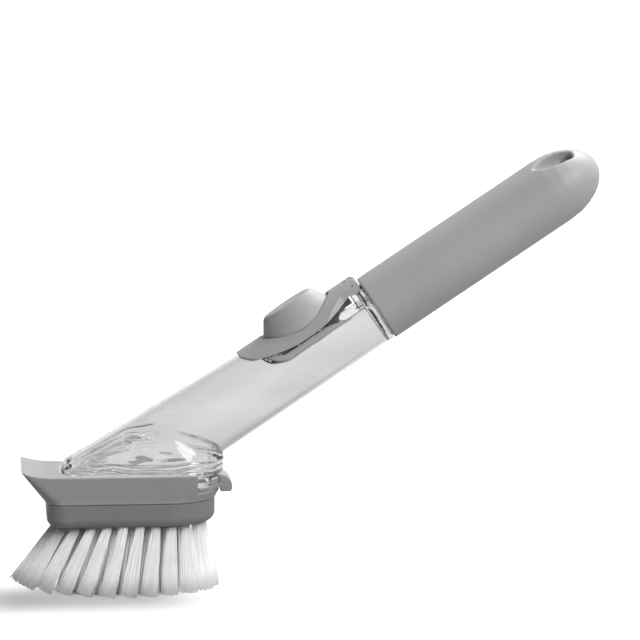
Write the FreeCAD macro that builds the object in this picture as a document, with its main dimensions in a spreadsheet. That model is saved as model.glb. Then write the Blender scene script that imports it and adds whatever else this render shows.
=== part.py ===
import FreeCAD, Part
import math
import os
import re
import Sketcher

# Driving sizes, in millimetres and degrees
SIZES = {
    # Line of the wand: it rises from a point over the brush centre
    "rise_angle": 33.5,
    "axis_height": 56.5,
    # Handle
    "handle_front": 141.0,
    "handle_length": 126.0,
    "handle_radius": 16.75,
    "handle_wall": 2.6,
    "handle_bore_length": 84.0,
    "nose_length": 25.0,
    "eye_radius": 4.2,
    "eye_setback": 13.0,
    "eye_angle": 28.0,
    "mouth_setback": 16.0,
    "mouth_half_length": 12.0,
    "mouth_half_width": 4.6,
    "mouth_depth": 8.0,
    # Reservoir tube
    "tube_start": 22.0,
    "tube_belly": 16.1,
    "tube_foot_crown": 23.0,
    "tube_rim_crown": 15.1,
    "tube_wall": 1.8,
    "rim_radius": 16.2,
    "rim_thickness": 2.8,
    "handle_gap": 0.4,
    "spigot_length": 22.0,
    "spigot_wall": 1.8,
    "socket_clearance": 0.1,
    # Filler deck and port
    "deck_front": 83.5,
    "deck_height": 5.5,
    "deck_roll_radius": 12.0,
    "deck_thickness": 2.0,
    "port_station": 106.9,
    "neck_radius": 9.5,
    "neck_bore": 7.5,
    "neck_height": 1.9,
    # Lid and its hinge
    "lid_radius": 17.5,
    "lid_centre_height": 2.3,
    "lid_wall": 3.0,
    "lid_rim_height": 8.8,
    "rim_roll_radius": 75.0,
    "tongue_station": 74.0,
    "tongue_radius": 15.2,
    "lid_wide_station": 98.0,
    "lid_waist_station": 116.0,
    "strap_station": 130.0,
    "lid_half_width": 16.8,
    "strap_half_width": 11.0,
    "lid_clearance": 0.3,
    "tongue_relief": 2.0,
    "pin_station": 136.9,
    "pin_radius": 1.0,
    "pin_clearance": 0.05,
    "ear_radius": 3.6,
    "ear_skin": 1.2,
    "lug_radius": 3.0,
    "lug_half_width": 3.2,
    # Press dome
    "dome_half_length": 19.4,
    "dome_half_width": 13.0,
    "dome_rim_height": 13.2,
    "dome_shoulder_height": 18.2,
    "dome_shoulder_inset": 1.0,
    "dome_top_height": 26.4,
    "dome_top_half_length": 13.0,
    "dome_top_half_width": 7.4,
    "dome_round": 2.2,
    "dome_wall": 2.0,
    "skirt_gap": 1.2,
    "skirt_wall": 1.2,
    "skirt_height": 3.0,
    "flange_half_length": 17.4,
    "flange_half_width": 12.0,
    "flange_thickness": 1.2,
    "gasket_thickness": 0.7,
    "gasket_width": 2.6,
    "clamp_radius": 15.3,
    "clamp_thickness": 1.9,
    "clamp_slit": 0.6,
    "clamp_neck_gap": 1.1,
    "pad_radius": 0.7,
    "pad_pitch": 12.0,
    "pad_half_span": 13.7,
    # Foot of the reservoir
    "foot_toe": 33.0,
    "foot_heel": 44.5,
    "foot_half_width": 20.5,
    "foot_toe_radius": 15.0,
    "foot_wall": 2.0,
    "foot_wall_height": 3.3,
    "hump_height": 17.2,
    "skirt_heel": 40.6,
    "skirt_inset": 0.3,
    "skirt_depth": 8.3,
    "ledge_rise": 3.4,
    "skirt_wall_low": 1.6,
    "skirt_wall_high": 2.8,
    "notch_front": 33.3,
    "notch_width": 3.0,
    "notch_drop": 1.0,
    "notch_height": 3.5,
    "notch_half_span": 16.2,
    # Base plate, valve and seals
    "base_seat": 0.3,
    "base_thickness": 2.1,
    "base_gap": 0.1,
    "seal_width": 2.3,
    "outlet_radius": 5.0,
    "valve_flange_radius": 6.5,
    "valve_flange_thickness": 1.3,
    "valve_bore": 3.0,
    "valve_skin": 0.8,
    "retainer_radius": 8.0,
    "retainer_lip": 1.2,
    # Plug at the tube's end
    "plug_length": 9.0,
    "seal_ring_radius": 1.1,
    "seal_ring_squeeze": 0.2,
    # Head frame and scraper
    "block_half_length": 40.2,
    "block_half_width": 23.5,
    "block_toe_radius": 9.0,
    "block_low": 34.0,
    "block_thickness": 11.2,
    "block_edge": 4.2,
    "collar_cover": 1.2,
    "bill_reach": 52.3,
    "bill_rise": 2.8,
    "bill_root": 36.0,
    "bill_corner": 1.6,
    "collar_half_width": 24.0,
    "collar_heel": 50.0,
    "collar_floor": 3.7,
    "head_clearance": 0.3,
    "floor_hole_radius": 9.0,
    "soap_hole_radius": 4.0,
    "heel_cut_front": 31.2,
    "heel_cut_step": 0.1,
    "peg_radius": 2.0,
    "peg_height": 2.0,
    "peg_half_pitch": 26.0,
    "peg_half_span": 12.0,
    # Heel latch
    "belt_rise": 1.5,
    "belt_height": 1.8,
    "belt_gap": 1.0,
    "belt_thickness": 2.0,
    "belt_root_gap": 0.5,
    "belt_pad_start": 37.8,
    "belt_pad_end": 41.3,
    "belt_pad_rise": 3.2,
    "tab_radius": 5.7,
    "tab_centre_drop": 1.6,
    "tab_drop": 2.3,
    "tab_half_width": 8.0,
    # Bristle tufts
    "tuft_radius": 2.0,
    "tuft_tip_radius": 3.7,
    "tuft_length": 33.6,
    "tuft_seat": 5.0,
    "tuft_collar": 1.2,
    "tuft_clearance": 0.05,
    "outer_ring_length": 34.0,
    "outer_ring_width": 18.2,
    "inner_ring_length": 22.5,
    "inner_ring_width": 8.8,
    "toe_lean": 34.0,
    "heel_lean": 8.0,
    "side_lean": 12.0,
    "upright_station": 23.0,
    "anchor_thickness": 0.5,
    "anchor_width": 3.0,
    "anchor_height": 1.6,
    # Room that every cutting shape runs past what it cuts
    "overrun": 5.0,
}
# Heights that follow from those sizes, from the bristle block up
HEIGHTS = {
    "block_high": "block_low + block_thickness",
    "floor_top": "block_high + collar_floor",
    "skirt_bottom": "floor_top + base_seat",
    "ledge_height": "skirt_bottom + ledge_rise",
    "foot_underside": "skirt_bottom + skirt_depth",
    "notch_low": "foot_underside - notch_drop",
    "collar_top": "foot_underside + collar_cover",
    "heel_cut_low": "floor_top + heel_cut_step",
    "belt_low": "heel_cut_low + belt_rise",
    "belt_high": "belt_low + belt_height",
}
# Sections of the foot's hump: share of its height, then of the foot's toe, heel, width and toe corners
HUMP_SHARES = (
    (0.00, 1.000, 1.000, 1.000, 1.00),
    (0.30, 0.755, 0.998, 0.985, 0.93),
    (0.53, 0.513, 0.953, 0.956, 0.85),
    (0.80, 0.242, 0.843, 0.917, 0.70),
    (1.00, 0.060, 0.742, 0.863, 0.60),
)
NOSE_ANGLES = (0, 15, 28, 40, 50, 59, 67, 74, 80, 85)
OUTER_TUFTS = 22
INNER_TUFTS = 12
TOE_LENGTH_SHARE = 0.07
INNER_LEAN_SHARE = 0.6
RING_STEPS = 720

doc = FreeCAD.newDocument("dish_wand")
sheet = doc.addObject("Spreadsheet::Sheet", "sizes")
cells = {alias: str(number) for alias, number in SIZES.items()}
cells.update({alias: f"={formula}" for alias, formula in HEIGHTS.items()})
for row, (alias, content) in enumerate(cells.items(), start=1):
    sheet.set(f"A{row}", alias)
    sheet.setAlias(f"B{row}", alias)
    sheet.set(f"B{row}", content)
doc.recompute()

# Heights and stations that several pieces share
LID_CROWN = "(lid_centre_height + lid_radius)"
PIN_HEIGHT = f"({LID_CROWN} - ear_radius)"
RIM_END = "(handle_front - handle_gap)"
RIM_FRONT = f"({RIM_END} - rim_thickness)"
BORE_RADIUS = "(handle_radius - handle_wall)"
SPIGOT_RADIUS = f"({BORE_RADIUS} - socket_clearance)"
SPIGOT_BORE = f"({SPIGOT_RADIUS} - spigot_wall)"
SPIGOT_END = f"({RIM_END} + spigot_length)"
NOSE_TIP = "(handle_front + handle_length)"
CLAMP_TOP = "(lid_rim_height - clamp_slit)"
FLANGE_TOP = f"({CLAMP_TOP} + flange_thickness)"
BASE_LOW = "(skirt_bottom + base_gap)"
BASE_TOP = f"({BASE_LOW} + base_thickness)"
VALVE_LOW = f"({BASE_LOW} - valve_flange_thickness)"
BELT_CENTRE = "(skirt_heel - foot_half_width + skirt_inset)"
BELT_INNER = "(foot_half_width - skirt_inset + belt_gap)"

TURNS = {
    "X": FreeCAD.Rotation(FreeCAD.Vector(0, 1, 0), 90),
    "Y": FreeCAD.Rotation(FreeCAD.Vector(1, 0, 0), -90),
    "Z": FreeCAD.Rotation(),
}


def bound(formula):
    """Turn a formula in the names of sizes into one that reads the sheet."""
    return re.sub(r"[a-z_]+", lambda word: f"sizes.{word[0]}" if word[0] in cells else word[0], str(formula))


def value(formula):
    """The number that a formula gives now."""
    return float(sheet.evalExpression(bound(formula)))


def bind(feature, **formulas):
    for name, formula in formulas.items():
        feature.setExpression(name, bound(formula))
    return feature


def put(feature, x, y, z, turn="Z"):
    """Stand a feature at a place given by formulas, with its own Z axis along the named axis."""
    feature.Placement = FreeCAD.Placement(FreeCAD.Vector(), TURNS[turn])
    for axis, formula in zip("xyz", (x, y, z)):
        feature.setExpression(f"Placement.Base.{axis}", bound(formula))
    return feature


def cylinder(name, radius, low, high, x="0", y="0", turn="Z"):
    """A round bar from low to high along the axis, with its centre line at x and y (or their like)."""
    bar = bind(doc.addObject("Part::Cylinder", name), Radius=radius, Height=f"({high}) - ({low})")
    places = {"X": (low, x, y), "Y": (x, low, y), "Z": (x, y, low)}
    return put(bar, *places[turn], turn)


def box(name, x_low, x_high, y_low, y_high, z_low, z_high):
    block = doc.addObject("Part::Box", name)
    bind(block, Length=f"({x_high}) - ({x_low})", Width=f"({y_high}) - ({y_low})",
         Height=f"({z_high}) - ({z_low})")
    return put(block, x_low, y_low, z_low)


def ellipse(name, half_length, half_width, height):
    ring = bind(doc.addObject("Part::Ellipse", name), MajorRadius=half_length, MinorRadius=half_width)
    return put(ring, "port_station", "0", height)


def circle(name, radius, station, height):
    """A circle square to the wand's line."""
    return put(bind(doc.addObject("Part::Circle", name), Radius=radius), station, "0", height, "X")


def loft(name, *sections, ruled=True):
    skin = doc.addObject("Part::Loft", name)
    skin.Sections = list(sections)
    skin.Solid = True
    skin.Ruled = ruled
    return skin


def prism(name, outline, height):
    body = doc.addObject("Part::Extrusion", name)
    body.Base = outline
    body.DirMode = "Custom"
    body.Dir = FreeCAD.Vector(0, 0, 1)
    body.Solid = True
    return bind(body, LengthFwd=height)


def fuse(name, *pieces):
    whole = doc.addObject("Part::MultiFuse", name)
    whole.Shapes = list(pieces)
    return whole


def group(name, pieces):
    whole = doc.addObject("Part::Compound", name)
    whole.Links = pieces
    return whole


def cut(name, base, tool):
    rest = doc.addObject("Part::Cut", name)
    rest.Base = base
    rest.Tool = tool
    return rest


def common(name, *pieces):
    shared = doc.addObject("Part::MultiCommon", name)
    shared.Shapes = list(pieces)
    return shared


def outline(name, corners, height):
    """A closed outline, anticlockwise. A corner is x, y and the radius of the arc that leaves it, or None."""
    sketch = doc.addObject("Sketcher::SketchObject", name)
    points = [FreeCAD.Vector(value(x), value(y), 0) for x, y, radius in corners]
    for index, (x, y, radius) in enumerate(corners):
        start = points[index]
        end = points[(index + 1) % len(points)]
        if radius is None:
            sketch.addGeometry(Part.LineSegment(start, end))
        else:
            middle = (start + end) * 0.5
            reach = value(radius)
            half = start.distanceToPoint(end) * 0.5
            side = FreeCAD.Vector(0, 0, 1).cross(end - start).normalize()
            centre = middle + side * math.sqrt(max(reach ** 2 - half ** 2, 0))
            first = math.atan2(start.y - centre.y, start.x - centre.x)
            last = math.atan2(end.y - centre.y, end.x - centre.x)
            ring = Part.Circle(centre, FreeCAD.Vector(0, 0, 1), reach)
            sketch.addGeometry(Part.ArcOfCircle(ring, first, last))
    for index, (x, y, radius) in enumerate(corners):
        following = (index + 1) % len(corners)
        sketch.addConstraint(Sketcher.Constraint("Coincident", index, 2, following, 1))
        limits = [("DistanceX", x), ("DistanceY", y)]
        for kind, formula in limits:
            number = sketch.addConstraint(Sketcher.Constraint(kind, -1, 1, index, 1, value(formula)))
            sketch.setExpression(f"Constraints[{number}]", bound(formula))
        if radius is not None:
            number = sketch.addConstraint(Sketcher.Constraint("Radius", index, value(radius)))
            sketch.setExpression(f"Constraints[{number}]", bound(radius))
    return put(sketch, "0", "0", height)


def oval(name, toe, heel, half_width, toe_radius, height):
    """Outline with straight sides, a round heel and a blunt toe with rounded corners."""
    heel_centre = f"({heel}) - ({half_width})"
    toe_centre = f"({toe_radius}) - ({toe})"
    corner = f"({half_width}) - ({toe_radius})"
    return outline(name, [
        (toe_centre, f"-({half_width})", None),
        (heel_centre, f"-({half_width})", half_width),
        (heel, "0", half_width),
        (heel_centre, half_width, None),
        (toe_centre, half_width, toe_radius),
        (f"-({toe})", corner, None),
        (f"-({toe})", f"-({corner})", toe_radius),
    ], height)


def oval_prism(name, inset, low, high, heel="foot_heel"):
    """Upright oval of the foot, drawn in by an inset."""
    ring = oval(f"{name}_line", f"foot_toe - ({inset})", f"{heel} - ({inset})",
                f"foot_half_width - ({inset})", f"foot_toe_radius - ({inset})", low)
    return prism(name, ring, f"({high}) - ({low})")


def hump(name, inset, low):
    """The foot's upright wall and the hump above it, drawn in by an inset."""
    rings = [oval(f"{name}_low", f"foot_toe - ({inset})", f"foot_heel - ({inset})",
                  f"foot_half_width - ({inset})", f"foot_toe_radius - ({inset})", low)]
    for step, (rise, *shares) in enumerate(HUMP_SHARES):
        sizes = [f"{size} * {share} - ({inset})" for size, share in
                 zip(("foot_toe", "foot_heel", "foot_half_width", "foot_toe_radius"), shares)]
        height = f"foot_underside + foot_wall_height + hump_height * {rise} - ({inset})"
        rings.append(oval(f"{name}_{step}", *sizes, height))
    return loft(name, *rings)


def wand_place():
    """Stands what is drawn along X onto the rising line of the wand."""
    turn = FreeCAD.Rotation(FreeCAD.Vector(0, 1, 0), -value("rise_angle"))
    return FreeCAD.Placement(FreeCAD.Vector(0, 0, value("axis_height")), turn)


def on_wand(feature):
    feature.Placement = wand_place()
    return feature


def tube_skin(name, inset, start, end):
    """Slanting cone between two circles that share the belly line and have their own crowns."""
    fall = "(tube_foot_crown - tube_rim_crown) / (tube_start + handle_front)"
    rings = []
    for index, station in enumerate((start, end)):
        crown = f"(tube_foot_crown - ({fall}) * (({station}) + tube_start))"
        radius = f"({crown} + tube_belly) / 2 - ({inset})"
        rings.append(circle(f"{name}_ring_{index}", radius, station, f"({crown} - tube_belly) / 2"))
    return loft(name, *rings)


def wide_box(name, x_low, x_high, z_low, z_high):
    """A box across the whole width of the wand."""
    return box(name, x_low, x_high, "-2 * handle_radius", "2 * handle_radius", z_low, z_high)


def deck_cut(name, growth, above):
    """Room over the filler deck, whose front end rolls up to the tube's crown."""
    centre = "(deck_front + deck_roll_radius)"
    end = f"{RIM_FRONT} + overrun"
    roll_top = "deck_height + deck_roll_radius"
    roll = cylinder(f"{name}_roll", f"deck_roll_radius + {growth}", "-2 * handle_radius", "2 * handle_radius",
                    centre, roll_top, "Y")
    return fuse(name, roll, wide_box(f"{name}_flat", centre, end, f"deck_height - {growth}", above),
                wide_box(f"{name}_top", f"deck_front - {growth}", end, roll_top, above))


# Clear reservoir: tube with its filler deck, port neck, hinge lug, end rim and spigot, on an oval foot
def reservoir_tube():
    above = "3 * handle_radius"
    skin = tube_skin("tube_skin", "0", "-tube_start", RIM_FRONT)
    decked = cut("tube_decked", skin, deck_cut("deck_room", "0", above))
    rim = cut("rim_flat", cylinder("rim_disc", "rim_radius", RIM_FRONT, RIM_END, turn="X"),
              wide_box("rim_room", f"{RIM_FRONT} - overrun", f"{RIM_END} + overrun",
                       f"{PIN_HEIGHT} - ear_radius - lid_clearance", above))
    spigot = cylinder("spigot", SPIGOT_RADIUS, RIM_END, SPIGOT_END, turn="X")
    neck = cylinder("neck", "neck_radius", "deck_height - deck_thickness", "deck_height + neck_height",
                    x="port_station")
    lug_post = box("lug_post", "pin_station - lug_radius", "pin_station + lug_radius", "-lug_half_width",
                   "lug_half_width", "deck_height - deck_thickness", PIN_HEIGHT)
    lug_eye = cylinder("lug_eye", "lug_radius", "-lug_half_width", "lug_half_width", "pin_station",
                       PIN_HEIGHT, "Y")
    shell = fuse("tube_shell", decked, rim, spigot, neck, lug_post, lug_eye)

    bore = tube_skin("tube_bore", "tube_wall", "tube_wall - tube_start", RIM_FRONT)
    roofed = cut("bore_roofed", bore, deck_cut("bore_room", "deck_thickness", above))
    spigot_bore = cut("spigot_bore", cylinder("spigot_round", SPIGOT_BORE, f"{RIM_FRONT} - overrun",
                                              f"{SPIGOT_END} + overrun", turn="X"),
                      wide_box("spigot_room", f"{RIM_FRONT} - 2 * overrun", RIM_FRONT,
                               "deck_height - deck_thickness", above))
    port = cylinder("port", "neck_bore", "0", "deck_height + neck_height + overrun", x="port_station")
    pin_hole = cylinder("lug_hole", "pin_radius + pin_clearance", "-lug_half_width - overrun",
                        "lug_half_width + overrun", "pin_station", PIN_HEIGHT, "Y")
    hollow = fuse("tube_hollow", roofed, spigot_bore, port, pin_hole)

    foot = hump("foot_block", "0", "foot_underside")
    upper = cut("upper_outside", fuse("upper_block", on_wand(shell), foot),
                box("under_room", "-2 * foot_toe", "2 * foot_heel", "-2 * foot_half_width",
                    "2 * foot_half_width", "-foot_underside", "foot_underside"))
    lower = oval_prism("foot_skirt", "skirt_inset", "skirt_bottom", "foot_underside",
                       "skirt_heel + skirt_inset")
    outside = fuse("outside", upper, lower)

    foot_room = hump("foot_room", "foot_wall", "foot_underside + foot_wall / 2")
    low_room = oval_prism("low_room", "skirt_inset + skirt_wall_low", "skirt_bottom - overrun", "ledge_height",
                          "skirt_heel + skirt_inset")
    high_room = oval_prism("high_room", "skirt_inset + skirt_wall_high", "ledge_height",
                           "foot_underside + foot_wall", "skirt_heel + skirt_inset")
    wand_room = cut("wand_room", on_wand(hollow),
                    box("wand_room_floor", "-2 * foot_toe", "2 * foot_heel", "-2 * foot_half_width",
                        "2 * foot_half_width", "-foot_underside", "foot_underside + foot_wall"))
    notch_ends = ("notch_front", "notch_front + notch_width")
    notch_spans = {"near": ("-2 * foot_half_width", "-notch_half_span"),
                   "far": ("notch_half_span", "2 * foot_half_width")}
    notches = [box(f"notch_{side}", *notch_ends, *span, "notch_low", "notch_low + notch_height")
               for side, span in notch_spans.items()]
    return cut("reservoir_tube", outside, fuse("inside", wand_room, foot_room, low_room, high_room, *notches))


def arc_radius(half_chord, depth):
    """Radius of the arc that stands a depth over a chord."""
    return f"(({half_chord} ^ 2 + {depth} ^ 2) / (2 * {depth}))"


def hanging_eye():
    """Round hole through the grip's end, turned to one side, with a long pointed and scooped mouth."""
    hole = cylinder("eye_hole", "eye_radius", "-2 * handle_radius", "2 * handle_radius",
                    x=f"{NOSE_TIP} - eye_setback")
    centre = f"{NOSE_TIP} - mouth_setback"
    lip_radius = arc_radius("mouth_half_length", "mouth_half_width")
    floor_radius = arc_radius("mouth_half_length", "mouth_depth")
    lips = [cylinder(f"mouth_lip_{side}", lip_radius, "0", "2 * handle_radius", centre,
                     f"{sign}({lip_radius} - mouth_half_width)")
            for side, sign in (("near", "-"), ("far", "+"))]
    floor = cylinder("mouth_floor", floor_radius, "-handle_radius", "handle_radius", centre,
                     f"handle_radius - mouth_depth + {floor_radius}", "Y")
    eye = fuse("hanging_eye", hole, common("eye_mouth", *lips, floor))
    turn = FreeCAD.Rotation(FreeCAD.Vector(1, 0, 0), value("eye_angle"))
    eye.Placement = FreeCAD.Placement(FreeCAD.Vector(), turn)
    return eye


# Grip: a round shell with an egg-shaped nose and a hanging eye through it
def handle_shell():
    nose_start = f"({NOSE_TIP} - nose_length)"
    bar = cylinder("grip_bar", "handle_radius", "handle_front", nose_start, turn="X")
    nose = loft("nose", *(circle(f"nose_ring_{angle}", f"handle_radius * cos({angle} * 1 deg)",
                                 f"{nose_start} + nose_length * sin({angle} * 1 deg)", "0")
                          for angle in NOSE_ANGLES))
    bore = cylinder("grip_bore", BORE_RADIUS, "handle_front - overrun", "handle_front + handle_bore_length",
                    turn="X")
    return on_wand(cut("handle_shell", fuse("grip", bar, nose), fuse("grip_holes", bore, hanging_eye())))


# Plug in the spigot's end, turned with a groove for its seal ring
def tube_plug():
    radius = f"({SPIGOT_BORE} - socket_clearance)"
    plug = cylinder("plug_bar", radius, f"{SPIGOT_END} - plug_length", SPIGOT_END, turn="X")
    head = cylinder("plug_head", SPIGOT_RADIUS, SPIGOT_END, f"{SPIGOT_END} + spigot_wall", turn="X")
    middle = f"({SPIGOT_END} - plug_length / 2)"
    floor = f"({SPIGOT_BORE} - 2 * seal_ring_radius)"
    half = "(seal_ring_radius + base_gap)"
    groove_round = cylinder("groove_round", f"{radius} + overrun", f"{middle} - {half}", f"{middle} + {half}",
                            turn="X")
    groove_floor = cylinder("groove_floor", f"{floor} - seal_ring_squeeze", f"{middle} - overrun",
                            f"{middle} + overrun", turn="X")
    groove = cut("groove", groove_round, groove_floor)
    return on_wand(cut("tube_plug", fuse("plug_solid", plug, head), groove))


def plug_seal_ring():
    ring = bind(doc.addObject("Part::Torus", "seal_torus"), Radius2="seal_ring_radius",
                Radius1=f"{SPIGOT_BORE} - seal_ring_radius - base_gap")
    put(ring, f"{SPIGOT_END} - plug_length / 2", "0", "0", "X")
    return on_wand(group("plug_seal_ring", [ring]))


def hinge_pin():
    half = "(strap_half_width - ear_skin - lid_clearance)"
    pin = cylinder("pin", "pin_radius", f"-{half}", half, "pin_station", PIN_HEIGHT, "Y")
    return on_wand(group("hinge_pin", [pin]))


# Filler lid: a saddle cut from a round shell, with a tongue in front and two hinge ears behind
def lid_cover():
    plan = outline("lid_plan", [
        ("pin_station", "-strap_half_width", None),
        ("pin_station", "strap_half_width", None),
        ("strap_station", "strap_half_width", None),
        ("lid_waist_station", "lid_half_width", None),
        ("lid_wide_station", "lid_half_width", None),
        ("tongue_station + tongue_radius", "tongue_radius", "tongue_radius"),
        ("tongue_station", "0", "tongue_radius"),
        ("tongue_station + tongue_radius", "-tongue_radius", None),
        ("lid_wide_station", "-lid_half_width", None),
        ("lid_waist_station", "-lid_half_width", None),
        ("strap_station", "-strap_half_width", None),
    ], "lid_rim_height")
    ends = ("tongue_station - overrun", "pin_station + 2 * ear_radius")
    outside = cylinder("lid_outside", "lid_radius", *ends, y="lid_centre_height", turn="X")
    inside = cylinder("lid_inside", "lid_radius - lid_wall", *ends, y="lid_centre_height", turn="X")
    roll = cylinder("rim_roll", "rim_roll_radius", "-2 * lid_radius", "2 * lid_radius", "port_station",
                    "lid_rim_height + rim_roll_radius", "Y")
    blank = common("lid_blank", prism("lid_block", plan, "lid_radius"), outside, roll)
    shell = cut("lid_shell", blank, inside)
    ears = common("ears", outside, cylinder("ear_bar", "ear_radius", "-strap_half_width", "strap_half_width",
                                            "pin_station", PIN_HEIGHT, "Y"))
    slot_side = "lug_half_width + lid_clearance"
    slot = box("fork_slot", "pin_station - lug_radius - lid_clearance", "pin_station + 2 * ear_radius",
               f"-({slot_side})", slot_side, "0", f"{LID_CROWN} + overrun")
    hole_end = "(strap_half_width - ear_skin)"
    pin_hole = cylinder("ear_hole", "pin_radius + pin_clearance", f"-{hole_end}", hole_end, "pin_station",
                        PIN_HEIGHT, "Y")
    seat = tube_skin("tongue_seat", "-lid_clearance", "tongue_station - overrun", "deck_front + tongue_relief")
    opening = prism("dome_opening", ellipse("dome_opening_line", "dome_half_length + lid_clearance",
                                            "dome_half_width + lid_clearance", "0"), f"{LID_CROWN} + overrun")
    cuts = fuse("lid_cuts", slot, pin_hole, seat, opening)
    return on_wand(cut("lid_cover", fuse("lid_solid", shell, ears), cuts))


def dome_skin(name, inset, low):
    """Oval dome with upright lower walls and a flat crown, drawn in by an inset."""
    shoulder = f"(dome_shoulder_inset + {inset})"
    sections = (("low", f"dome_half_length - {inset}", f"dome_half_width - {inset}", low),
                ("shoulder", f"dome_half_length - {shoulder}", f"dome_half_width - {shoulder}",
                 f"dome_shoulder_height - {inset} / 2"),
                ("top", f"dome_top_half_length - {inset} / 2", f"dome_top_half_width - {inset} / 2",
                 f"dome_top_height - {inset}"))
    return loft(name, *(ellipse(f"{name}_{level}", *sizes) for level, *sizes in sections))


# Press dome: a hollow oval cap with a rounded crown
def pump_button():
    skin = dome_skin("dome_skin", "0", "dome_rim_height")
    doc.recompute()
    top = value("dome_top_height")
    edges = [index for index, edge in enumerate(skin.Shape.Edges, start=1)
             if edge.BoundBox.ZMin > top - value("dome_wall") / 2]
    rounded = doc.addObject("Part::Fillet", "dome_rounded")
    rounded.Base = skin
    rounded.Edges = [(index, value("dome_round"), value("dome_round")) for index in edges]
    room = dome_skin("dome_room", "dome_wall", "dome_rim_height - overrun")
    return on_wand(cut("pump_button", rounded, room))


# Soft flange under the lid, with a low wall that guides the dome
def dome_skirt():
    flange = prism("flange", ellipse("flange_line", "flange_half_length", "flange_half_width", CLAMP_TOP),
                   "flange_thickness")
    inset = "dome_wall + skirt_gap"
    wall = prism("skirt_wall_block", ellipse("skirt_line", f"dome_half_length - ({inset})",
                                             f"dome_half_width - ({inset})", CLAMP_TOP),
                 "flange_thickness + skirt_height")
    room_line = ellipse("skirt_room_line", f"dome_half_length - ({inset}) - skirt_wall",
                        f"dome_half_width - ({inset}) - skirt_wall", FLANGE_TOP)
    room = prism("skirt_room", room_line, "dome_top_height")
    hole = cylinder("flange_hole", "neck_bore", "0", "dome_top_height", x="port_station")
    return on_wand(cut("dome_skirt", fuse("skirt_solid", flange, wall), fuse("skirt_cuts", room, hole)))


def port_gasket():
    ring = cylinder("gasket_disc", "neck_bore + gasket_width", f"{CLAMP_TOP} - gasket_thickness", CLAMP_TOP,
                    x="port_station")
    hole = cylinder("gasket_hole", "neck_bore", "0", "dome_top_height", x="port_station")
    return on_wand(cut("port_gasket", ring, hole))


# Plate under the lid, with four pads that meet the lid's edge
def dome_clamp_plate():
    plate = cylinder("clamp_block", "clamp_radius", f"{CLAMP_TOP} - clamp_thickness", CLAMP_TOP,
                     x="port_station")
    rim = "(lid_rim_height + rim_roll_radius - sqrt(rim_roll_radius ^ 2 - (pad_pitch / 2 - pad_radius) ^ 2))"
    pads = [cylinder(f"clamp_pad_{place}", "pad_radius", f"{CLAMP_TOP} - clamp_thickness / 2", rim,
                     f"port_station + ({end}) * pad_pitch / 2", f"({side}) * pad_half_span")
            for place, (end, side) in enumerate(((-1, -1), (-1, 1), (1, -1), (1, 1)))]
    hole = cylinder("clamp_hole", "neck_radius + clamp_neck_gap", "0", "dome_top_height", x="port_station")
    return on_wand(cut("dome_clamp_plate", fuse("clamp_solid", plate, *pads), hole))


# Plate that closes the foot, with the outlet in its middle
def reservoir_base():
    plate = oval_prism("base_block", "skirt_inset + skirt_wall_low + base_gap", BASE_LOW, BASE_TOP,
                       "skirt_heel + skirt_inset")
    return cut("reservoir_base", plate, cylinder("outlet", "outlet_radius", f"{BASE_LOW} - overrun",
                                                 f"{BASE_TOP} + overrun"))


def base_seal():
    inset = "skirt_inset + skirt_wall_low + base_gap"
    heel = "skirt_heel + skirt_inset"
    ring = oval_prism("seal_block", inset, BASE_TOP, "ledge_height", heel)
    return cut("base_seal", ring, oval_prism("seal_room", f"{inset} + seal_width", f"{BASE_TOP} - overrun",
                                             "ledge_height + overrun", heel))


# Soft outlet valve: a flange with a thin cap in the outlet
def outlet_valve():
    flange = cylinder("valve_flange", "valve_flange_radius", VALVE_LOW, BASE_LOW)
    cap = cylinder("valve_cap", "outlet_radius - base_gap", VALVE_LOW, BASE_TOP)
    room = cylinder("valve_room", "valve_bore", f"{VALVE_LOW} - overrun", f"{BASE_TOP} - valve_skin")
    return cut("outlet_valve", fuse("valve_solid", flange, cap), room)


def valve_retainer():
    cup = cylinder("retainer_cup", "retainer_radius", f"{VALVE_LOW} - retainer_lip", BASE_LOW)
    seat = cylinder("retainer_seat", "valve_flange_radius + base_gap", VALVE_LOW, f"{BASE_LOW} + overrun")
    hole = cylinder("retainer_hole", "valve_bore", f"{VALVE_LOW} - overrun", f"{BASE_LOW} + overrun")
    return cut("valve_retainer", cup, fuse("retainer_room", seat, hole))


PEG_PLACES = [(x, y) for x in ("-peg_half_pitch", "peg_half_pitch")
              for y in ("-peg_half_span", "peg_half_span")]


def pegs(name, growth):
    ends = ("block_high - base_gap", f"block_high + peg_height + {growth}")
    return [cylinder(f"{name}_{index}", f"peg_radius + {growth}", *ends, x, y)
            for index, (x, y) in enumerate(PEG_PLACES)]


def block_oval(name, height):
    """Outline that the bristle block and the collar's lower edge share."""
    return oval(name, "block_half_length", "block_half_length", "block_half_width", "block_toe_radius", height)


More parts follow.
